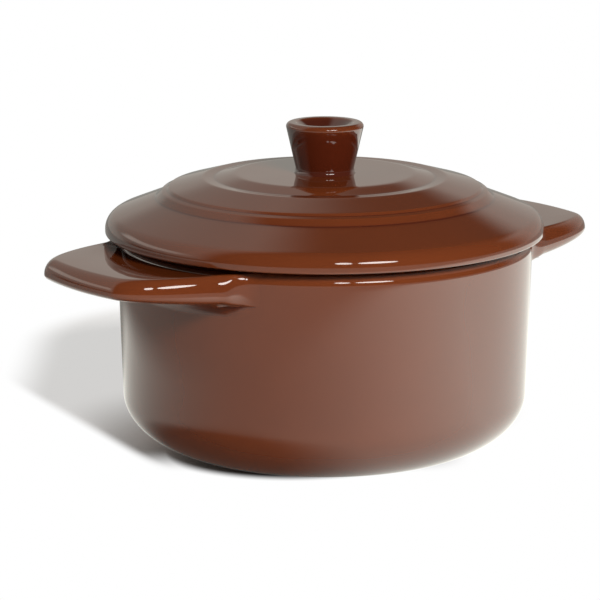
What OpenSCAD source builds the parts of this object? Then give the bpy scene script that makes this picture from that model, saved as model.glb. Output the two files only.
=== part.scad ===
// Mini cocotte: a round glazed stoneware pot with two solid lug handles,
// and a loose ringed lid with a flared knob.
// Millimetres. +Z is up, the origin is on the table under the centre of the pot, and the handles lie along X.

/* [Pot] */
// Outer diameter at the rim
pot_d = 100; // [84:1:130]
// Height from the table to the top of the rim
pot_h = 52.7; // [44:0.1:75]
// Thickness of the wall
wall_t = 5; // [4:0.1:7]
// Thickness of the floor
floor_t = 5; // [3:0.1:8]
// Amount by which the outer radius shrinks from the rim to the base
wall_draft = 1.6; // [0:0.1:3]
// Width of the round edge between wall and base
base_round_w = 21; // [8:0.5:24]
// Height of the round edge between wall and base
base_round_h = 13.7; // [8:0.1:24]
// Radius of the rim's outer round edge
rim_r = 2.8; // [1:0.1:3.4]
// Radius of the rim's inner round edge
rim_in_r = 1.2; // [0.6:0.1:1.8]

/* [Foot ring] */
// Distance from the start of the base's round edge in to the unglazed ring that the pot stands on
foot_inset = 1.4; // [0.4:0.1:6]
// Width of the ring
foot_w = 4; // [2:0.5:6]
// Height by which the ring lifts the base off the table
foot_h = 0.6; // [0.4:0.1:1.2]
// Depth of the recess inside the ring
foot_recess = 1.4; // [0.6:0.1:2]

/* [Handles] */
// Reach of each handle beyond the rim
handle_reach = 22; // [16:0.1:32]
// Width of each handle where it leaves the wall
handle_root_w = 54.5; // [44:0.5:66]
// Degrees by which each straight side closes in on the handle's middle
handle_lean = 14.8; // [8:0.2:30]
// Length over which the outer corners are rounded
handle_corner = 14; // [6:0.5:22]
// Flatness of the outer edge: 0 follows the pot's curve, 1 is straight
handle_flat = 0; // [0:0.1:1]
// Thickness of each handle at the wall
handle_t = 7.5; // [6.2:0.1:9]
// Thickness of each handle at its outer edge
handle_tip_t = 5.1; // [3.5:0.1:6]
// Depth of the round nose along each handle's edge
handle_nose = 3.2; // [2:0.1:4]
// Distance from the top of the rim down to the top of each handle's edge
handle_drop = 0.4; // [0.3:0.1:3]
// Depth to which each handle's top sinks from its edge to the wall
handle_dish = 1.2; // [0:0.1:1.5]
// Height of the fillet under each handle
handle_fillet = 3.5; // [2:0.5:8]

/* [Lid] */
// Amount by which the lid overhangs the rim
lid_overhang = 2.75; // [1:0.25:5]
// Height from the lid's seat to its flat crown
lid_rise = 15; // [13:0.2:20]
// Thickness of the lid at its crown
lid_t = 5; // [3.5:0.1:6]
// Height of the lid's outer edge, before it is rounded
lid_edge_h = 3.8; // [3:0.1:5.5]
// Gap between the lid's outer edge and the level of its seat
lid_edge_gap = 0.7; // [0.2:0.1:1.5]
// Radius of the edge's upper round
lid_edge_r = 3.9; // [1.5:0.1:4.5]
// Width of the sloping brim, from the lid's edge in to its foot
brim_w = 12.1; // [9:0.1:16]
// Fall of the brim from its foot to the lid's edge
brim_fall = 4.75; // [3.5:0.05:6]
// Width of the step from the outer ring down to the brim
outer_step_w = 3.3; // [2.6:0.1:5]
// Width of the narrow tread in that step
tread_w = 1.1; // [0.6:0.1:1.8]
// Depth of the tread below the outer ring
tread_drop = 0.6; // [0.3:0.1:0.9]
// Distance from the outer ring in to the inner ring
ring_pitch = 8.1; // [6:0.1:11]
// Distance from the inner ring in to the flat crown
crown_step_w = 7.7; // [6:0.1:9]
// Depth of the inner ring below the crown
inner_ring_drop = 1; // [0.6:0.1:2]
// Depth of the outer ring below the crown
outer_ring_drop = 3.2; // [2.4:0.1:4]
// Height of the inner ring above the dip inside it
inner_ring_h = 0.2; // [0.1:0.1:1]
// Distance from the inner ring in to that dip
dip_w = 2.8; // [2:0.1:4]
// Depth of the collar that drops into the pot
collar_h = 5; // [3:0.5:8]
// Thickness of the collar
collar_t = 3.5; // [2.5:0.1:5]
// Play between the collar and the inside of the wall
collar_play = 1; // [0.4:0.1:2]

/* [Knob] */
// Height of the knob above the crown
knob_h = 12.2; // [8:0.1:18]
// Diameter of the knob at its top, before its edge is rounded
knob_top_d = 19.1; // [14:0.1:26]
// Diameter of the knob where it meets its foot
knob_neck_d = 13.5; // [8:0.1:16]
// Radius of the fillet at the knob's foot
knob_fillet = 1.4; // [0.6:0.1:2.5]
// Radius of the knob's round rim
knob_rim_r = 1.5; // [0.6:0.1:1.8]
// Width of the rim round the dish in the knob's top
knob_rim_w = 2.7; // [2:0.1:4]
// Depth of the dish
knob_dish = 1.8; // [0.6:0.1:3]

/* [Hidden] */
glaze = [0.36, 0.16, 0.09];
$fn = 180;

// Degrees of turn in each step of a round stretch
arc_step = 7.5;

// Pot
pot_r = pot_d / 2;
foot_r = pot_r - wall_draft - base_round_w - foot_inset;
foot_edge_r = 0.3;
floor_z = foot_recess + floor_t;

// Handles: each merges with the rim where it stands off less than merge_stand, and ends at min_stand.
// nose_up is the share of a handle's thickness that lies above the widest line of its nose.
handle_half_angle = asin(handle_root_w / 2 / pot_r);
handle_top = pot_h - handle_drop;
handle_under = handle_top - handle_t;
root_top = handle_top - handle_dish;
nose_up = 0.68;
nose_share = 0.6;
root_blend = 6;
merge_stand = 4;
min_stand = 1;
bond_gap = 0.05;
handle_steps = 44;
nose_steps = 10;
fillet_steps = 5;

// Lid: heights are measured up from the seat, the top of the rim
lid_r = pot_r + lid_overhang;
edge_under = pot_h + lid_edge_gap;
edge_top = edge_under + lid_edge_h;
edge_under_r = 1.1;
seat_out = 0.6;
toe_r = lid_r - brim_w;
toe_z = edge_top + brim_fall;
outer_ring_r = toe_r - outer_step_w;
tread_in = outer_ring_r + tread_drop;
tread_fall = 0.4;
inner_ring_r = outer_ring_r - ring_pitch;
crown_r = inner_ring_r - crown_step_w;
crown_z = pot_h + lid_rise;
inner_ring_z = crown_z - inner_ring_drop;
outer_ring_z = crown_z - outer_ring_drop;
crown_round = 6;
ring_round = 2.5;
step_round = 0.6;
toe_round = 1.5;
collar_out = pot_r - wall_t - collar_play;
collar_in = collar_out - collar_t;
collar_edge_r = 1;
under_z = crown_z - lid_t;
under_round = 5.5;
spring_h = 3.6;

// Knob
knob_top = crown_z + knob_h;
knob_top_r = knob_top_d / 2;
knob_neck_r = knob_neck_d / 2;
knob_lip = 0.3;
dish_rim_r = knob_top_r - knob_rim_w;
dish_floor_share = 0.6;

// Wall: outer radius at a height
function wall_at(z) = pot_r - wall_draft * (pot_h - z) / (pot_h - foot_h);

// Quarter ellipse from a floor at height z up to the wall, as far inside the outer wall as inset
function bowl_corner(inset, z, w, h) =
    [for (a = [0:arc_step:90])
        let (up = z + h * (1 - cos(a)))
        [wall_at(up) - inset - w * (1 - sin(a)), up, 0]];

function unit(v) = v / norm(v);
function xy(p) = [p.x, p.y];

// The length of an edge that one of its corners may use, by the radii of the two
edge_use = 0.98;
function room(edge, r, other_r) = edge_use * edge * r / (r + other_r);

// One corner of an outline, rounded to its radius p[2] as far as its two edges leave room
function corner(before, p, after) =
    p[2] == 0 ? [xy(p)] :
    let (
        back = xy(before) - xy(p),
        ahead = xy(after) - xy(p),
        half = acos(unit(back) * unit(ahead)) / 2,
        cut = min(
            p[2] / tan(half),
            room(norm(back), p[2], before[2]),
            room(norm(ahead), p[2], after[2])
        ),
        r = cut * tan(half),
        centre = xy(p) + unit(unit(back) + unit(ahead)) * r / sin(half),
        from = xy(p) + unit(back) * cut - centre,
        turn = (back.x * ahead.y - back.y * ahead.x > 0 ? -1 : 1) * (180 - 2 * half),
        start = atan2(from.y, from.x),
        steps = max(2, ceil(abs(turn) / arc_step))
    )
    [for (i = [0:steps]) let (a = start + turn * i / steps) centre + r * [cos(a), sin(a)]];

// A closed outline of [x, y, radius] corners as plain points
function rounded(points) =
    let (n = len(points))
    [for (i = [0:n - 1]) each corner(points[(i + n - 1) % n], points[i], points[(i + 1) % n])];

// Corners of the pot's outside, from the table up to the rim
pot_outside = concat(
    [[foot_r, 0, foot_edge_r], [foot_r, foot_h, 0]],
    bowl_corner(0, foot_h, base_round_w, base_round_h),
    [[pot_r, pot_h, rim_r]]
);

// Corners of the pot's inside, from its floor up to the rim: the same curves, one wall thickness in
pot_inside = concat(
    [[0, floor_z, 0]],
    bowl_corner(wall_t, floor_z, base_round_w - wall_t, base_round_h - wall_t),
    [[pot_r - wall_t, pot_h, rim_in_r]]
);

function reversed(list) = [for (i = [len(list) - 1:-1:0]) list[i]];

module pot_body() {
    color(glaze) rotate_extrude()
        polygon(rounded(concat(
            [
                [0, foot_recess, 0],
                [foot_r - foot_w, foot_recess, foot_edge_r],
                [foot_r - foot_w, 0, foot_edge_r]
            ],
            pot_outside,
            reversed(pot_inside)
        )));
}

function smooth_min(a, b, k) = min(a, b) - pow(max(k - abs(a - b), 0), 2) / (4 * k);

// Sine of the angle at which a straight side leaves the wall
side_sine = sin(handle_half_angle + handle_lean);

// Distance from the pot's axis to a handle's outline at an angle from its middle:
// the nearer of its outer edge and its straight side, with the corner between them rounded
function outline_at(angle) = smooth_min(
    (pot_r + handle_reach) / pow(cos(angle), handle_flat),
    pot_r * side_sine / sin(abs(angle) + handle_lean),
    handle_corner
);

// How far a handle stands off the wall at an angle from its middle
function stand(angle) = -smooth_min(-pot_r, -outline_at(angle), root_blend) - pot_r;

// The angle at which a handle's outline has sunk to min_stand
end_r = pot_r - root_blend + 2 * sqrt(root_blend * min_stand);
handle_end = asin(min(pot_r * side_sine / end_r, 1)) - handle_lean;

// The pot's rounded rim, from the wall up to its crest
rim_curve = corner(
    [wall_at(foot_h + base_round_h), foot_h + base_round_h, 0],
    [pot_r, pot_h, rim_r],
    [pot_r - wall_t, pot_h, rim_in_r]
);

// Radius of a handle's root at a height: it follows the wall and the rim, one bond_gap off them
function root_at(z) =
    bond_gap + (z < rim_curve[0].y ? wall_at(z) : lookup(z, [for (p = rim_curve) [p.y, p.x]]));

// The upper part of a handle's root, along the rim
root_curve = concat(
    [for (p = rim_curve) if (p.y < root_top - bond_gap) p + [bond_gap, 0]],
    [[root_at(root_top), root_top]]
);

// A smooth step from 0 to 1
function ease(x) = let (s = min(max(x, 0), 1)) s * s * (3 - 2 * s);

// A handle's upright section at an angle: round nose, underside that rises outwards, fillet down to the wall,
// root and dished top
function handle_section(angle) =
    let (
        reach = stand(angle),
        free = ease(reach / merge_stand),
        thick = handle_t - (handle_t - handle_tip_t) * reach / handle_reach,
        nose = min(handle_nose, nose_share * reach),
        tip = pot_r + reach - nose,
        widest_z = handle_top - nose_up * thick,
        fillet_w = free * min(handle_fillet, reach - nose),
        outline = concat(
            [for (i = [0:nose_steps])
                let (
                    a = 90 - 180 * i / nose_steps,
                    z = widest_z + thick * sin(a) * (a > 0 ? nose_up : 1 - nose_up)
                )
                [root_at(z) + free * (tip + nose * cos(a) - root_at(z)), z]],
            [for (i = [0:fillet_steps])
                let (
                    a = 90 * i / fillet_steps,
                    z = handle_under - handle_fillet * (1 - cos(a))
                )
                [root_at(z) + fillet_w * (1 - sin(a)), z]],
            root_curve
        )
    )
    [for (p = outline) [p.x * cos(angle), p.x * sin(angle), p.y]];

// A solid skin over a row of closed loops that all have the same number of points
module loft(loops) {
    n = len(loops[0]);
    last = len(loops) - 1;
    polyhedron(
        points = [for (loop = loops) each loop],
        faces = concat(
            [[for (i = [0:n - 1]) i]],
            [for (k = [0:last - 1], i = [0:n - 1])
                let (j = (i + 1) % n)
                each [
                    [k * n + i, (k + 1) * n + i, k * n + j],
                    [k * n + j, (k + 1) * n + i, (k + 1) * n + j]
                ]],
            [[for (i = [n - 1:-1:0]) last * n + i]]
        )
    );
}

module handle() {
    color(glaze) loft([for (i = [0:handle_steps]) handle_section(handle_end * (2 * i / handle_steps - 1))]);
}

module handle_left() {
    rotate([0, 0, 180]) handle();
}

module handle_right() {
    handle();
}

module lid() {
    color(glaze) rotate_extrude()
        polygon(rounded([
            [0, under_z, 0],
            [crown_r - lid_t, under_z, under_round],
            [collar_in, pot_h + spring_h, under_round],
            [collar_in, pot_h - collar_h, collar_edge_r],
            [collar_out, pot_h - collar_h, collar_edge_r],
            [collar_out, pot_h, 0],
            [pot_r - rim_r + seat_out, pot_h, 0],
            [lid_r - edge_under_r, edge_under, edge_under_r],
            [lid_r, edge_under, edge_under_r],
            [lid_r, edge_top, lid_edge_r],
            [toe_r, toe_z, toe_round],
            [tread_in + tread_w, outer_ring_z - tread_drop - tread_fall, step_round],
            [tread_in, outer_ring_z - tread_drop, step_round],
            [outer_ring_r, outer_ring_z, step_round],
            [inner_ring_r, inner_ring_z, ring_round],
            [inner_ring_r - dip_w, inner_ring_z - inner_ring_h, ring_round],
            [crown_r, crown_z, crown_round],
            [0, crown_z, 0]
        ]));
}

module lid_knob() {
    color(glaze) rotate_extrude()
        polygon(rounded([
            [0, crown_z, 0],
            [knob_neck_r + knob_fillet, crown_z, 0],
            [knob_neck_r + knob_fillet, crown_z + knob_lip, 0],
            [knob_neck_r, crown_z + knob_lip, knob_fillet],
            [knob_top_r, knob_top, knob_rim_r],
            [dish_rim_r, knob_top, knob_rim_r],
            [dish_floor_share * dish_rim_r, knob_top - knob_dish, knob_rim_r],
            [0, knob_top - knob_dish, 0]
        ]));
}

pot_body();
handle_left();
handle_right();
lid();
lid_knob();
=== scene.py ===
"""Mini cocotte: a round pot with two lug handles and a loose ringed lid, in a glossy brown glaze.

Outlines and sizes of the pieces are in millimetres; add_piece turns them into the frame's metres.
The camera, the lamps, the floor and the glaze are in metres.
"""
import math

import bpy
from mathutils import Matrix, Vector


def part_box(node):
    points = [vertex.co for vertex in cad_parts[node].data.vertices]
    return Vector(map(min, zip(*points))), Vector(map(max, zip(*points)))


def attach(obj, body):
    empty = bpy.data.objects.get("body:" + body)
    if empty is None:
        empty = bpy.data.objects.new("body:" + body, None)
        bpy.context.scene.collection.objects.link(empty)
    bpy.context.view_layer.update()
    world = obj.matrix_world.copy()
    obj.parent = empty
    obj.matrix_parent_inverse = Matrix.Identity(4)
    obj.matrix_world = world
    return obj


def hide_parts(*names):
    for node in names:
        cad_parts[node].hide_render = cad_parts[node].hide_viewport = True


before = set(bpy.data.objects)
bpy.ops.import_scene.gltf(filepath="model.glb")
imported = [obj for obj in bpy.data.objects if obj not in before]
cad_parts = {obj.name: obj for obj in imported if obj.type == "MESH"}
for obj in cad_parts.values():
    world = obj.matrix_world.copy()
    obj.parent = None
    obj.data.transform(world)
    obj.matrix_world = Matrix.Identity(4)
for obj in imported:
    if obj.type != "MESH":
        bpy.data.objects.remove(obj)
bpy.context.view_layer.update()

MM = 0.001


def node_box(node):
    """Lowest and highest corner of a CAD node, in millimetres."""
    low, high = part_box(node)
    return low / MM, high / MM


# Sizes that the frame gives
POT_H = node_box("pot_body")[1].z
LID_R = node_box("lid")[1].x
CROWN_Z = node_box("lid")[1].z
COLLAR_Z = node_box("lid")[0].z
KNOB_TOP = node_box("lid_knob")[1].z
LUG_TIP = node_box("handle_right")[1].x
LUG_TOP = node_box("handle_right")[1].z

# Pot
LID_OVERHANG = 2.75  # how far the lid stands out past the rim
POT_R = LID_R - LID_OVERHANG
WALL_T = 5.0
FLOOR_T = 5.0
WALL_DRAFT = 1.6  # how much less the wall's radius is at the foot than at the rim
BASE_ROUND_W = 21.0
BASE_ROUND_H = 13.7
RIM_R = 2.8
RIM_IN_R = 1.2
FOOT_INSET = 1.4
FOOT_W = 4.0
FOOT_H = 0.6
FOOT_RECESS = 1.4
FOOT_EDGE_R = 0.4
FLOOR_Z = FOOT_RECESS + FLOOR_T
FOOT_R = POT_R - WALL_DRAFT - BASE_ROUND_W - FOOT_INSET
FOOT_BARE_Z = FOOT_H / 2  # the foot ring is unglazed below this height

# Lug handles
LUG_REACH = LUG_TIP - POT_R
LUG_ROOT_W = 54.5
LUG_LEAN = math.radians(14.8)  # how far each side turns in towards the tip
LUG_CORNER = 14.0  # blend between the tip and a side
LUG_T = 7.5
LUG_TIP_T = 5.1
LUG_NOSE = 3.2  # depth of the rounded nose
LUG_NOSE_MOST = 0.6  # the most of a narrow lug that its nose takes
LUG_NOSE_UP = 0.68  # share of the thickness above the nose's foremost line
LUG_DISH = 1.2  # how much lower the top is at the rim than at the nose
LUG_FILLET = 3.5
LUG_BLEND = 6.0  # blend between a side and the wall
LUG_MERGE = 4.0  # a lug that stands off less than this merges with the rim
LUG_UNDER = LUG_TOP - LUG_T
LUG_HALF_ANGLE = math.asin(LUG_ROOT_W / 2 / POT_R)
LUG_SINK = 1.2  # how deep the hidden root lies in the wall
LUG_END_SINK = 0.05  # how deep the merged ends lie in the wall

# Lid
LID_T = 5.0
LID_EDGE_H = 3.8
LID_EDGE_GAP = 0.7  # between the rim's top and the underside of the lid's edge
LID_EDGE_R = 3.9
BRIM_W = 12.1
BRIM_FALL = 4.75
OUTER_STEP_W = 3.3
TREAD_W = 1.1  # the narrow tread below the outer ring
TREAD_DROP = 0.6
TREAD_FALL = 0.4
RING_PITCH = 8.1
CROWN_STEP_W = 7.7
INNER_RING_DROP = 1.0
OUTER_RING_DROP = 3.2
INNER_RING_H = 0.2
DIP_W = 2.8  # the dip inside the inner ring
CROWN_ROUND = 6.0
RING_ROUND = 2.5
STEP_ROUND = 0.6
TOE_ROUND = 1.5
COLLAR_T = 3.5
COLLAR_PLAY = 1.0
COLLAR_EDGE_R = 1.0
COLLAR_R = POT_R - WALL_T - COLLAR_PLAY
COLLAR_BARE_Z = COLLAR_Z + COLLAR_EDGE_R / 4  # the collar is unglazed below this height
EDGE_UNDER_R = 1.1
SEAT_OUT = 0.6  # how far the seat reaches out over the rim's rounding
SPRING_H = 3.6  # height over the rim at which the underside turns in to the crown
UNDER_ROUND = 5.5

# Knob
KNOB_TOP_R = 9.55
KNOB_NECK_R = 6.75
KNOB_FILLET = 1.4
KNOB_RIM_R = 1.5
KNOB_RIM_W = 2.7
KNOB_DISH = 1.8
DISH_FLOOR_SHARE = 0.6  # the dish's flat floor, as a share of its mouth
KNOB_LIP = 0.3  # how deep the knob's foot lies in the crown
KNOB_PAINTED_SHADE = 1.0  # painted shade: the knob's colour is darkened all over, like glaze pooled in a hollow

# Fineness of the meshes
ARC_STEP = math.radians(4)
LONGEST_STEP = 1.2
TURNS = 240
LUG_STEPS = 144
NOSE_STEPS = 20
FILLET_STEPS = 12

# Share of an edge that its corners may round away
EDGE_USE = 0.98

# Faces that meet at more than this keep a sharp edge between them
SHARP = math.radians(35)

# An edge of this radius is where the glaze runs thinnest, and it changes smoothly along an outline
THIN_EDGE_R = 2.0
THIN_SMOOTHINGS = 3
SHORTEST_STEP = 1e-6


def corner_arc(before, here, after):
    """The points of one rounded (r, z, radius) corner.
    Where an edge is too short for its two corners, they share it."""
    radius = here[2]
    if radius == 0:
        return [Vector(here[:2])]
    point = Vector(here[:2])
    back, ahead = Vector(before[:2]) - point, Vector(after[:2]) - point
    half = back.angle(ahead) / 2
    cut = min(
        radius / math.tan(half),
        EDGE_USE * back.length * radius / (radius + before[2]),
        EDGE_USE * ahead.length * radius / (radius + after[2]),
    )
    r = cut * math.tan(half)
    centre = point + (back.normalized() + ahead.normalized()).normalized() * r / math.sin(half)
    start = point + back.normalized() * cut - centre
    turn = math.copysign(math.pi - 2 * half, -back.cross(ahead))
    steps = max(2, math.ceil(abs(turn) / ARC_STEP))
    return [centre + Matrix.Rotation(turn * i / steps, 2) @ start for i in range(steps + 1)]


def rounded(corners):
    """The points along an open outline of (r, z, radius) corners, at most LONGEST_STEP apart."""
    points = [Vector(corners[0][:2])]
    for before, here, after in zip(corners, corners[1:], corners[2:]):
        points += corner_arc(before, here, after)
    points.append(Vector(corners[-1][:2]))
    spaced = [points[0]]
    for a, b in zip(points, points[1:]):
        steps = max(1, math.ceil((b - a).length / LONGEST_STEP))
        spaced += [a.lerp(b, (i + 1) / steps) for i in range(steps)]
    return spaced


def thinness(points):
    """How sharply an outline turns at each point.
    It is 1 on an outer edge of THIN_EDGE_R, and -1 in such a hollow."""
    bends = [0.0]
    for a, b, c in zip(points, points[1:], points[2:]):
        into, out = b - a, c - b
        turn = math.atan2(into.cross(out), into.dot(out))
        bends.append(turn / max((into.length + out.length) / 2, SHORTEST_STEP) * THIN_EDGE_R)
    bends.append(0.0)
    bends = [max(-1.0, min(1.0, b)) for b in bends]
    for _ in range(THIN_SMOOTHINGS):
        inner = [(a + 2 * b + c) / 4 for a, b, c in zip(bends, bends[1:], bends[2:])]
        bends = [bends[0], *inner, bends[-1]]
    return bends


def add_object(name, data):
    """A new object in the scene, made of a mesh, a camera or a lamp."""
    made = bpy.data.objects.new(name, data)
    bpy.context.scene.collection.objects.link(made)
    return made


def add_piece(name, points, faces, traits, material, body, node, slot):
    """A smooth mesh of millimetre points, which stands for a CAD node and moves with its body."""
    mesh = bpy.data.meshes.new(name)
    mesh.from_pydata([Vector(p) * MM for p in points], [], faces)
    for trait, values in traits.items():
        mesh.attributes.new(trait, "FLOAT", "POINT").data.foreach_set("value", values)
    mesh.materials.append(material)
    mesh.shade_smooth()
    mesh.set_sharp_from_angle(angle=SHARP)
    mesh.update()
    piece = add_object(name, mesh)
    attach(piece, body)
    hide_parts(node)


def lathe(name, outline, bare_below=0.0, painted_shade_depth=0.0, **where):
    """A closed solid of revolution; its outline runs from the axis, round the outside and back.
    It is unglazed below bare_below, and a shade depth above 0 darkens its whole colour with painted
    shade, like glaze pooled in a hollow."""
    # Painted shade: a shade depth above 0 pulls the whole piece towards the pooled glaze colour
    thin = [bend - painted_shade_depth for bend in thinness(outline)]
    bare = [float(p.y < bare_below) for p in outline]
    rings = outline[1:-1]
    spokes = [2 * math.pi * j / TURNS for j in range(TURNS)]
    points = [(0, 0, outline[0].y)]
    points += [(p.x * math.cos(a), p.x * math.sin(a), p.y) for p in rings for a in spokes]
    points.append((0, 0, outline[-1].y))

    def at(k, j):
        return 1 + k * TURNS + j % TURNS

    top, last = len(points) - 1, len(rings) - 1
    faces = [(0, at(0, j + 1), at(0, j)) for j in range(TURNS)]
    faces += [
        (at(k, j), at(k, j + 1), at(k + 1, j + 1), at(k + 1, j))
        for k in range(last)
        for j in range(TURNS)
    ]
    faces += [(at(last, j), at(last, j + 1), top) for j in range(TURNS)]

    def spread(values):
        inner = [v for v in values[1:-1] for _ in spokes]
        return [values[0], *inner, values[-1]]

    add_piece(name, points, faces, {"thin": spread(thin), "bare": spread(bare)}, **where)


def wall_at(z):
    """Outer radius of the pot's wall at a height."""
    return POT_R - WALL_DRAFT * (POT_H - z) / (POT_H - FOOT_H)


def bowl_corner(inset, z, w, h):
    """Quarter ellipse from a floor at height z up to the wall, inset from the wall's outside."""
    steps = math.ceil(math.pi / 2 / ARC_STEP)
    corners = []
    for i in range(steps + 1):
        a = math.pi / 2 * i / steps
        up = z + h * (1 - math.cos(a))
        corners.append((wall_at(up) - inset - w * (1 - math.sin(a)), up, 0))
    return corners


def pot_outline():
    """The pot from its underside, over the foot ring, wall and rim, to the floor inside."""
    inside = [
        *bowl_corner(WALL_T, FLOOR_Z, BASE_ROUND_W - WALL_T, BASE_ROUND_H - WALL_T),
        (POT_R - WALL_T, POT_H, RIM_IN_R),
    ]
    return rounded([
        (0, FOOT_RECESS, 0),
        (FOOT_R - FOOT_W, FOOT_RECESS, FOOT_EDGE_R),
        (FOOT_R - FOOT_W, 0, FOOT_EDGE_R),
        (FOOT_R, 0, FOOT_EDGE_R),
        (FOOT_R, FOOT_H, FOOT_EDGE_R),
        *bowl_corner(0, FOOT_H, BASE_ROUND_W, BASE_ROUND_H),
        (POT_R, POT_H, RIM_R),
        *reversed(inside),
        (0, FLOOR_Z, 0),
    ])


def lid_outline():
    """The lid from its underside, over the collar, seat, edge, brim and rings, to its crown."""
    edge_under = POT_H + LID_EDGE_GAP
    edge_top = edge_under + LID_EDGE_H
    toe_r = LID_R - BRIM_W
    outer_r = toe_r - OUTER_STEP_W
    tread_in = outer_r + TREAD_DROP
    inner_r = outer_r - RING_PITCH
    crown_r = inner_r - CROWN_STEP_W
    outer_z = CROWN_Z - OUTER_RING_DROP
    inner_z = CROWN_Z - INNER_RING_DROP
    under_z = CROWN_Z - LID_T
    return rounded([
        (0, under_z, 0),
        (crown_r - LID_T, under_z, UNDER_ROUND),
        (COLLAR_R - COLLAR_T, POT_H + SPRING_H, UNDER_ROUND),
        (COLLAR_R - COLLAR_T, COLLAR_Z, COLLAR_EDGE_R),
        (COLLAR_R, COLLAR_Z, COLLAR_EDGE_R),
        (COLLAR_R, POT_H, 0),
        (POT_R - RIM_R + SEAT_OUT, POT_H, 0),
        (LID_R - EDGE_UNDER_R, edge_under, EDGE_UNDER_R),
        (LID_R, edge_under, EDGE_UNDER_R),
        (LID_R, edge_top, LID_EDGE_R),
        (toe_r, edge_top + BRIM_FALL, TOE_ROUND),
        (tread_in + TREAD_W, outer_z - TREAD_DROP - TREAD_FALL, STEP_ROUND),
        (tread_in, outer_z - TREAD_DROP, STEP_ROUND),
        (outer_r, outer_z, STEP_ROUND),
        (inner_r, inner_z, RING_ROUND),
        (inner_r - DIP_W, inner_z - INNER_RING_H, RING_ROUND),
        (crown_r, CROWN_Z, CROWN_ROUND),
        (0, CROWN_Z, 0),
    ])


def knob_outline():
    """The knob from its foot in the crown, up its flared side, to the dish in its top."""
    dish_rim_r = KNOB_TOP_R - KNOB_RIM_W
    return rounded([
        (0, CROWN_Z - KNOB_LIP, 0),
        (KNOB_NECK_R + KNOB_FILLET, CROWN_Z - KNOB_LIP, 0),
        (KNOB_NECK_R, CROWN_Z, KNOB_FILLET),
        (KNOB_TOP_R, KNOB_TOP, KNOB_RIM_R),
        (dish_rim_r, KNOB_TOP, KNOB_RIM_R),
        (DISH_FLOOR_SHARE * dish_rim_r, KNOB_TOP - KNOB_DISH, KNOB_RIM_R),
        (0, KNOB_TOP - KNOB_DISH, 0),
    ])


def smooth_min(a, b, blend):
    """The lesser of two lengths, with a rounded change where they differ by less than blend."""
    return min(a, b) - max(blend - abs(a - b), 0) ** 2 / (4 * blend)


def smooth_step(share):
    """A share from 0 to 1 that leaves 0 and reaches 1 gently."""
    return share * share * (3 - 2 * share)


def lug_stand(angle):
    """How far a lug stands off the wall at an angle from its middle.
    Its sides are straight and blend into the wall."""
    side = POT_R * math.sin(LUG_HALF_ANGLE + LUG_LEAN) / math.sin(abs(angle) + LUG_LEAN)
    return -smooth_min(-POT_R, -smooth_min(LUG_TIP, side, LUG_CORNER), LUG_BLEND) - POT_R


def rim_at(z):
    """Outer radius of the pot at a height, with its rounded rim."""
    up = z - (POT_H - RIM_R)
    if up <= 0:
        return wall_at(z)
    lean = math.atan2(WALL_DRAFT, POT_H - FOOT_H)
    middle = POT_R - RIM_R / math.tan((math.pi / 2 - lean) / 2)
    return middle + math.sqrt(max(RIM_R ** 2 - up ** 2, 0))


def lug_section(angle):
    """A lug's upright section as (r, z) points: nose, underside, fillet, root and dished top.
    Towards the lug's ends, where it stands off less than LUG_MERGE, it merges with the rim."""
    stand = lug_stand(angle)
    free = smooth_step(min(stand / LUG_MERGE, 1))
    thick = LUG_T - (LUG_T - LUG_TIP_T) * stand / LUG_REACH
    nose = min(LUG_NOSE, LUG_NOSE_MOST * stand)
    tip = POT_R + stand - nose
    fillet_w = free * min(LUG_FILLET, stand - nose)
    sink = LUG_END_SINK * (1 - free)
    section = []
    for i in range(NOSE_STEPS + 1):
        a = math.pi * (0.5 - i / NOSE_STEPS)
        share = LUG_NOSE_UP if a > 0 else 1 - LUG_NOSE_UP
        z = LUG_TOP - thick * (LUG_NOSE_UP - share * math.sin(a))
        out = tip + nose * math.cos(a) - rim_at(z)
        section.append(Vector((rim_at(z) + free * out - sink, z)))
    for i in range(FILLET_STEPS + 1):
        a = math.pi / 2 * i / FILLET_STEPS
        z = LUG_UNDER - LUG_FILLET * (1 - math.cos(a))
        section.append(Vector((wall_at(z) + fillet_w * (1 - math.sin(a)) - sink, z)))
    foot_z = LUG_UNDER - LUG_FILLET
    root_z = LUG_TOP - LUG_DISH
    section.append(Vector((wall_at(foot_z) - LUG_END_SINK, foot_z - LUG_SINK)))
    section.append(Vector((wall_at(foot_z) - LUG_SINK, foot_z - LUG_SINK)))
    section.append(Vector((rim_at(root_z) - LUG_SINK, root_z - LUG_SINK)))
    section.append(Vector((rim_at(root_z) - LUG_END_SINK, root_z)))
    return section


def lug(name, facing, **where):
    """A lug handle whose middle points to the angle facing."""
    side_sine = math.sin(LUG_HALF_ANGLE + LUG_LEAN)
    end = math.asin(min(POT_R * side_sine / (POT_R - LUG_BLEND), 1)) - LUG_LEAN
    angles = [end * (2 * i / LUG_STEPS - 1) for i in range(LUG_STEPS + 1)]
    sections = [lug_section(a) for a in angles]
    n, last = len(sections[0]), LUG_STEPS
    points = []
    thin = []
    for angle, section in zip(angles, sections):
        a = angle + facing
        points += [(p.x * math.cos(a), p.x * math.sin(a), p.y) for p in section]
        # A section runs the other way round from a lathe's outline, so its bends change sign
        bends = thinness([section[-1], *section, section[0]])[1:-1]
        thin += [-b for b in bends]
    faces = [tuple(range(n)), tuple(last * n + i for i in reversed(range(n)))]
    for k in range(last):
        for i in range(n):
            j = (i + 1) % n
            faces.append((k * n + i, (k + 1) * n + i, (k + 1) * n + j, k * n + j))
    add_piece(name, points, faces, {"thin": thin, "bare": [0.0] * len(points)}, **where)


def add_node(tree, kind, inputs=None, **settings):
    """Adds a shader node; an input that is a socket is linked, and any other is set."""
    made = tree.nodes.new(kind)
    for key, value in settings.items():
        setattr(made, key, value)
    for key, value in (inputs or {}).items():
        if isinstance(value, bpy.types.NodeSocket):
            tree.links.new(value, made.inputs[key])
        else:
            made.inputs[key].default_value = value
    return made


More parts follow.
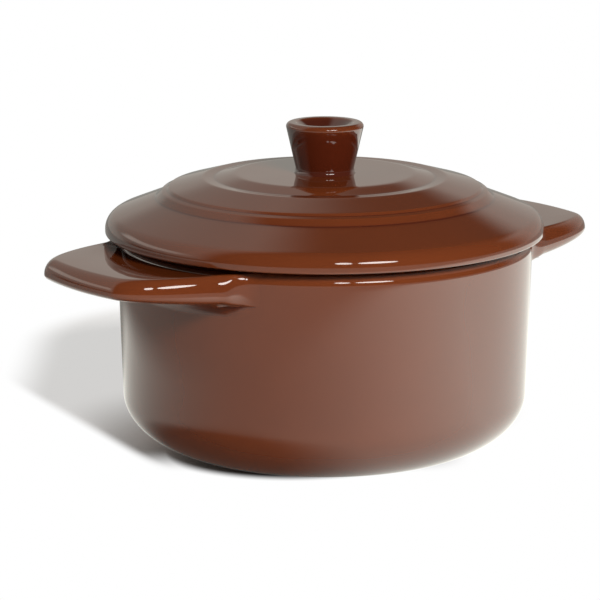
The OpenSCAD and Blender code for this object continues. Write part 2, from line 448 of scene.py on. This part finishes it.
def maths(tree, operation, *values):
    """The number that a maths node makes of its inputs."""
    inputs = dict(enumerate(values))
    return add_node(tree, "ShaderNodeMath", inputs, operation=operation).outputs[0]


def vector_maths(tree, operation, *values, output="Value"):
    """What a vector maths node makes of its inputs: a number, unless output is Vector."""
    inputs = dict(enumerate(values))
    return add_node(tree, "ShaderNodeVectorMath", inputs, operation=operation).outputs[output]


def product(tree, first, *others):
    """All the numbers multiplied."""
    for other in others:
        first = maths(tree, "MULTIPLY", first, other)
    return first


# Sockets of a mix node: its share, and its inputs and output for numbers and for colours
MIX_SHARE = 0
NUMBER_A, NUMBER_B, NUMBER_OUT = 2, 3, 0
COLOUR_A, COLOUR_B, COLOUR_OUT = 6, 7, 2


def mix_number(tree, share, a, b):
    """The number a, going over to b as share goes from 0 to 1."""
    inputs = {MIX_SHARE: share, NUMBER_A: a, NUMBER_B: b}
    return add_node(tree, "ShaderNodeMix", inputs, data_type="FLOAT").outputs[NUMBER_OUT]


def mix_colour(tree, share, a, b):
    """The colour a, going over to b as share goes from 0 to 1."""
    inputs = {MIX_SHARE: share, COLOUR_A: a, COLOUR_B: b}
    return add_node(tree, "ShaderNodeMix", inputs, data_type="RGBA").outputs[COLOUR_OUT]


def ramp(tree, value, start, end):
    """0 up to start, 1 from end on, with a smooth step between; end may be the lesser."""
    inputs = {"Value": value, "From Min": start, "From Max": end}
    return add_node(tree, "ShaderNodeMapRange", inputs, interpolation_type="SMOOTHSTEP").outputs[0]


def noise(tree, place, scale, detail):
    """Soft random spots; scale is how many there are to the metre."""
    inputs = {"Vector": place, "Scale": scale, "Detail": detail}
    return add_node(tree, "ShaderNodeTexNoise", inputs).outputs["Fac"]


# Linear colours of the glaze and of the clay
BODY = (0.122, 0.0265, 0.0066, 1)
BODY_DARK = (0.108, 0.0235, 0.006, 1)
THIN = (0.134, 0.0305, 0.008, 1)
# The pooled colour is glaze pooled in hollows, and also the painted shade laid over the knob
POOLED_AND_SHADED = (0.06, 0.009, 0.003, 1)
CLAY = (0.50, 0.37, 0.26, 1)
CLAY_SPECK = (0.22, 0.13, 0.08, 1)

# Noise in the glaze's colour and gloss, in the clay and in the glaze's surface
CLOUD = {"scale": 38.0, "detail": 3.0}
GRAIN = {"scale": 900.0, "detail": 2.0}
RIPPLE = {"scale": 70.0, "detail": 1.0}

# Ranges of the noise, and of how hollow or sharp the surface is, over which the looks change
DARKENING = (0.2, 0.8)
DULLING = (0.3, 0.7)
SPECKLING = (0.55, 0.7)
POOLING_AND_SHADE = (0.1, 1.0)
THINNING = (0.25, 1.0)

GLOSSY_ROUGHNESS = 0.02
DULLER_ROUGHNESS = 0.045
CLAY_ROUGHNESS = 0.85
GLAZE_IOR = 2.0
RELIEF_STRENGTH = 0.05
RELIEF_DEPTH = 0.001


def glaze(name):
    """Glossy brown glaze over buff clay: redder where it runs thin, darker where it pools, and
    darker all over on a piece that carries painted shade.
    """
    material = bpy.data.materials.new(name)
    material.use_nodes = True
    tree = material.node_tree
    shader = tree.nodes["Principled BSDF"]
    place = add_node(tree, "ShaderNodeTexCoord").outputs["Object"]
    thin = add_node(tree, "ShaderNodeAttribute", attribute_name="thin").outputs["Fac"]
    bare = add_node(tree, "ShaderNodeAttribute", attribute_name="bare").outputs["Fac"]
    cloud = noise(tree, place, **CLOUD)
    grain = noise(tree, place, **GRAIN)
    # Glaze pooled in hollows and the knob's painted shade both darken towards the pooled colour
    pool_and_shade = maths(tree, "MULTIPLY", thin, -1.0)
    colour = mix_colour(tree, ramp(tree, cloud, *DARKENING), BODY, BODY_DARK)
    colour = mix_colour(tree, ramp(tree, pool_and_shade, *POOLING_AND_SHADE), colour, POOLED_AND_SHADED)
    colour = mix_colour(tree, ramp(tree, thin, *THINNING), colour, THIN)
    clay = mix_colour(tree, ramp(tree, grain, *SPECKLING), CLAY, CLAY_SPECK)
    tree.links.new(mix_colour(tree, bare, colour, clay), shader.inputs["Base Color"])
    dull = ramp(tree, cloud, *DULLING)
    roughness = mix_number(tree, dull, GLOSSY_ROUGHNESS, DULLER_ROUGHNESS)
    roughness = mix_number(tree, bare, roughness, CLAY_ROUGHNESS)
    tree.links.new(roughness, shader.inputs["Roughness"])
    shader.inputs["IOR"].default_value = GLAZE_IOR
    relief = mix_number(tree, bare, noise(tree, place, **RIPPLE), grain)
    inputs = {"Strength": RELIEF_STRENGTH, "Distance": RELIEF_DEPTH, "Height": relief}
    bump = add_node(tree, "ShaderNodeBump", inputs)
    tree.links.new(bump.outputs["Normal"], shader.inputs["Normal"])
    return material


# Camera, fitted to the photo: it looks at the pot from between the front and the left lug
VIEW_AZIMUTH = math.radians(-36.6)
VIEW_ELEVATION = 12.21
VIEW_DISTANCE = 0.760
AIM_RIGHT = -0.00594
AIM_UP = 0.03627
SENSOR = 36.0
FOCAL_PIXELS = 3142.0
IMAGE_PIXELS = 600.0

RIGHT = Vector((math.cos(VIEW_AZIMUTH), math.sin(VIEW_AZIMUTH), 0))
TOWARDS_CAMERA = Vector((math.sin(VIEW_AZIMUTH), -math.cos(VIEW_AZIMUTH), 0))
UP = Vector((0, 0, 1))


def direction(azimuth, elevation):
    """Unit vector from the pot, azimuth degrees to the right of the camera and elevation up."""
    a, e = math.radians(azimuth), math.radians(elevation)
    return (TOWARDS_CAMERA * math.cos(a) + RIGHT * math.sin(a)) * math.cos(e) + UP * math.sin(e)


def face(thing, aim, way, distance):
    """Puts a camera or lamp at a distance from aim, along way, and turns it to face aim."""
    thing.location = aim + way * distance
    thing.rotation_euler = (-way).to_track_quat("-Z", "Y").to_euler()


def add_camera():
    data = bpy.data.cameras.new("camera")
    data.sensor_width = SENSOR
    data.lens = SENSOR * FOCAL_PIXELS / IMAGE_PIXELS
    camera = add_object("camera", data)
    aim = RIGHT * AIM_RIGHT + UP * AIM_UP
    face(camera, aim, direction(0, VIEW_ELEVATION), VIEW_DISTANCE)
    bpy.context.scene.camera = camera


# Lamps: they stand at one height and distance, in front of the pot and to the camera's right
LAMP_COLOUR = (1, 0.96, 0.93)
LAMP_ELEVATION = 29
LAMP_DISTANCE = 1.1


def add_softbox(name, azimuth, width, height, power, mirrored=True):
    """A flat oval lamp that faces the pot; mirrored says whether the glaze reflects it."""
    data = bpy.data.lights.new(name, "AREA")
    data.shape = "ELLIPSE"
    data.size = width
    data.size_y = height
    data.energy = power
    data.color = LAMP_COLOUR
    lamp = add_object(name, data)
    face(lamp, UP * AIM_UP, direction(azimuth, LAMP_ELEVATION), LAMP_DISTANCE)
    lamp.visible_camera = False
    lamp.visible_glossy = mirrored


def view_axes(tree, vector):
    """A vector's parts to the camera's right (X), away from the camera (Y) and up (Z)."""
    inputs = {"Vector": vector, "Angle": -VIEW_AZIMUTH}
    turned = add_node(tree, "ShaderNodeVectorRotate", inputs, rotation_type="Z_AXIS").outputs[0]
    return add_node(tree, "ShaderNodeSeparateXYZ", {0: turned}).outputs


# White, as a colour and as the strength of a background that the camera sees
WHITE = (1, 1, 1, 1)
WHITE_STRENGTH = 1.0

# Floor, whose shading is lifted a little away from the pot
FLOOR_SIZE = 6.0
FLOOR_WHITE = (0.85, 0.85, 0.85, 1)
FLOOR_LIFT = 0.51
LIFT_FROM, LIFT_TO = 0.034, 0.08

# For the camera the floor is white, but keeps the cast shadow behind the pot's left: a round-ended
# stretch, cut off along a slant on the left and across the front
SHADOW_RIGHT = -0.025
SHADOW_BACK = 0.114
SHADOW_IN, SHADOW_OUT = 0.046, 0.061
SIDE_WAY = RIGHT * -0.893 + TOWARDS_CAMERA * 0.45
SIDE_IN, SIDE_OUT = 0.0415, 0.0465
FRONT_IN, FRONT_OUT = -0.004, -0.026

# It also keeps the shadow in a disc under the foot and in one close behind it
CONTACT_MIDDLE = RIGHT * -0.0085 - TOWARDS_CAMERA * 0.0035
CONTACT_IN, CONTACT_OUT = 0.031, 0.037
BACK_MIDDLE = RIGHT * 0.004 - TOWARDS_CAMERA * 0.04
BACK_IN, BACK_OUT = 0.036, 0.05


def shadow_share(tree, place):
    """How much of the floor's own shading the camera sees at a place."""
    axes = view_axes(tree, place)
    aside = maths(tree, "SUBTRACT", axes["X"], SHADOW_RIGHT)
    beyond = maths(tree, "SUBTRACT", axes["Y"], SHADOW_BACK)
    beyond = maths(tree, "MAXIMUM", beyond, 0.0)
    off = add_node(tree, "ShaderNodeCombineXYZ", {"X": aside, "Y": beyond}).outputs[0]
    share = product(
        tree,
        ramp(tree, vector_maths(tree, "LENGTH", off), SHADOW_OUT, SHADOW_IN),
        ramp(tree, vector_maths(tree, "DOT_PRODUCT", place, SIDE_WAY), SIDE_OUT, SIDE_IN),
        ramp(tree, axes["Y"], FRONT_OUT, FRONT_IN),
    )
    discs = ((CONTACT_MIDDLE, CONTACT_IN, CONTACT_OUT), (BACK_MIDDLE, BACK_IN, BACK_OUT))
    for middle, inner, outer in discs:
        disc = ramp(tree, vector_maths(tree, "DISTANCE", place, middle), outer, inner)
        share = maths(tree, "MAXIMUM", share, disc)
    return share


# In a reflection the floor has painted light: it is brighter towards the back right
MIRRORED_TINT = (1, 1, 0.92, 1)
BRIGHT_WAY = RIGHT * 0.614 - TOWARDS_CAMERA * 0.789
DIM, BRIGHT = 0.35, 1.5
DIM_AT, BRIGHT_AT = -1.0, 0.353

# There it has a painted shadow right behind the pot and at the pot's left front, and it is dim far
# off
BEHIND = 0.35
BEHIND_WAY = RIGHT * -0.17 - TOWARDS_CAMERA * 0.985
BEHIND_FROM, BEHIND_TO = 0.75, 0.92
FAR = 0.35
FAR_MIDDLE = RIGHT * 0.1 - TOWARDS_CAMERA * 0.03
FAR_FROM, FAR_TO = 0.215, 0.27
DARK_SHARE = 0.2
DARK_MIDDLE = RIGHT * -0.033 + TOWARDS_CAMERA * 0.038
DARK_FROM, DARK_TO = 0.02, 0.05


def mirrored_level(tree, place):
    """How bright the floor is at a place, seen in a reflection, with its painted light and shade."""
    bearing = vector_maths(tree, "NORMALIZE", place, output="Vector")
    along = vector_maths(tree, "DOT_PRODUCT", bearing, BRIGHT_WAY)
    inputs = {
        "Value": along,
        "From Min": DIM_AT,
        "From Max": BRIGHT_AT,
        "To Min": DIM,
        "To Max": BRIGHT,
    }
    level = add_node(tree, "ShaderNodeMapRange", inputs).outputs[0]
    # Painted shadow of the pot, right behind it
    behind = vector_maths(tree, "DOT_PRODUCT", bearing, BEHIND_WAY)
    level = mix_number(tree, ramp(tree, behind, BEHIND_FROM, BEHIND_TO), level, BEHIND)
    # Painted shadow at the pot's left front
    from_dark = vector_maths(tree, "DISTANCE", place, DARK_MIDDLE)
    kept = mix_number(tree, ramp(tree, from_dark, DARK_FROM, DARK_TO), DARK_SHARE, 1.0)
    level = maths(tree, "MULTIPLY", level, kept)
    off = vector_maths(tree, "DISTANCE", place, FAR_MIDDLE)
    return mix_number(tree, ramp(tree, off, FAR_FROM, FAR_TO), level, FAR)


def floor_material():
    """Pale cloth that the camera sees as white where it keeps no shadow, and that a reflection sees
    with painted light and shade.
    """
    material = bpy.data.materials.new("floor_white")
    material.use_nodes = True
    tree = material.node_tree
    tree.nodes.remove(tree.nodes["Principled BSDF"])
    place = add_node(tree, "ShaderNodeTexCoord").outputs["Object"]
    path = add_node(tree, "ShaderNodeLightPath").outputs
    seen = path["Is Camera Ray"]
    reflected = maths(tree, "MAXIMUM", path["Is Glossy Ray"], path["Is Transmission Ray"])
    away = ramp(tree, vector_maths(tree, "LENGTH", place), LIFT_FROM, LIFT_TO)
    lift = product(tree, away, FLOOR_LIFT, seen)
    whitened = mix_number(tree, shadow_share(tree, place), seen, 0.0)
    mirrored = {"Color": MIRRORED_TINT, "Strength": mirrored_level(tree, place)}

    def emission(**inputs):
        return add_node(tree, "ShaderNodeEmission", inputs).outputs[0]

    def mix_shader(share, a, b):
        return add_node(tree, "ShaderNodeMixShader", {0: share, 1: a, 2: b}).outputs[0]

    cloth = add_node(tree, "ShaderNodeBsdfDiffuse", {"Color": FLOOR_WHITE}).outputs[0]
    lifted = add_node(tree, "ShaderNodeAddShader", {0: cloth, 1: emission(Strength=lift)}).outputs[0]
    plain = mix_shader(whitened, lifted, emission(Strength=WHITE_STRENGTH))
    surface = mix_shader(reflected, plain, emission(**mirrored))
    tree.links.new(surface, tree.nodes["Material Output"].inputs["Surface"])
    return material


def add_floor():
    mesh = bpy.data.meshes.new("floor")
    half = FLOOR_SIZE / 2
    corners = [(-half, -half, 0), (half, -half, 0), (half, half, 0), (-half, half, 0)]
    mesh.from_pydata(corners, [], [(0, 1, 2, 3)])
    mesh.materials.append(floor_material())
    floor = add_object("floor", mesh)


# World: how strong each part of it is
ROOM_TINT = (1, 0.96, 0.87, 1)
ROOM = 0.04
BACKDROP = 0.55
PANEL = 0.4
CEILING = 0.06
LEFT_PANEL = 1.0

# Where one part goes over to the next, along the parts of a direction to the camera's right (X),
# away from the camera (Y) and up (Z)
BACKDROP_Y = (0.35, 0.75)
HIGH_SLANT = -0.3  # how much HIGH_Z shifts with X
HIGH_Z = (0.28, 0.45)
CEILING_SLANT = 2.0  # how much CEILING_Z shifts with X
CEILING_Z = (0.45, 0.85)
BACK_LEFT = (0.3, 0.7)  # along Y less X
LEFT_X = (-0.58, -0.74)
LEFT_Y = (-0.3, 0.0)
LEFT_BOTTOM_Z = (0.2, 0.26)
LEFT_TOP_Z = (0.42, 0.36)


def add_world():
    """A dim room, with a pale backdrop low behind the pot, a panel and a dim ceiling high behind
    its left, and a bright panel low on the left; the camera sees white."""
    world = bpy.data.worlds.new("studio")
    bpy.context.scene.world = world
    world.use_nodes = True
    tree = world.node_tree
    sky = tree.nodes["Background"]
    axes = view_axes(tree, add_node(tree, "ShaderNodeTexCoord").outputs["Generated"])
    x, y, z = axes["X"], axes["Y"], axes["Z"]
    towards_ceiling = maths(tree, "MULTIPLY_ADD", x, CEILING_SLANT, z)
    high = mix_number(tree, ramp(tree, towards_ceiling, *CEILING_Z), PANEL, CEILING)
    back_left = maths(tree, "SUBTRACT", y, x)
    high = mix_number(tree, ramp(tree, back_left, *BACK_LEFT), ROOM, high)
    low = mix_number(tree, ramp(tree, y, *BACKDROP_Y), ROOM, BACKDROP)
    height = maths(tree, "MULTIPLY_ADD", x, HIGH_SLANT, z)
    around = mix_number(tree, ramp(tree, height, *HIGH_Z), low, high)
    left = product(tree, ramp(tree, x, *LEFT_X), ramp(tree, y, *LEFT_Y))
    band = product(tree, ramp(tree, z, *LEFT_BOTTOM_Z), ramp(tree, z, *LEFT_TOP_Z))
    around = mix_number(tree, product(tree, left, band), around, LEFT_PANEL)
    seen = add_node(tree, "ShaderNodeLightPath").outputs["Is Camera Ray"]
    tree.links.new(mix_number(tree, seen, around, WHITE_STRENGTH), sky.inputs["Strength"])
    tree.links.new(mix_colour(tree, seen, ROOM_TINT, WHITE), sky.inputs["Color"])


bpy.context.scene.view_settings.view_transform = "Standard"
add_camera()
add_world()
add_floor()
add_softbox("wide_softbox", azimuth=27.9, width=0.37, height=0.21, power=1.3)
add_softbox("slim_softbox", azimuth=9.4, width=0.15, height=0.21, power=0.47)
add_softbox("main_softbox", azimuth=25, width=0.5, height=0.25, power=13.7, mirrored=False)

pot_glaze = glaze("pot_glaze")
lid_glaze = glaze("lid_glaze")
on_pot = {"material": pot_glaze, "body": "pot", "slot": "pot_glaze"}
on_lid = {"material": lid_glaze, "body": "lid", "slot": "lid_glaze"}

lathe("pot_shell", pot_outline(), bare_below=FOOT_BARE_Z, node="pot_body", **on_pot)
lug("left_lug", math.pi, node="handle_left", **on_pot)
lug("right_lug", 0.0, node="handle_right", **on_pot)
lathe("lid_shell", lid_outline(), bare_below=COLLAR_BARE_Z, node="lid", **on_lid)
# The knob carries painted shade, which darkens its whole colour
lathe("knob", knob_outline(), painted_shade_depth=KNOB_PAINTED_SHADE, node="lid_knob", **on_lid)
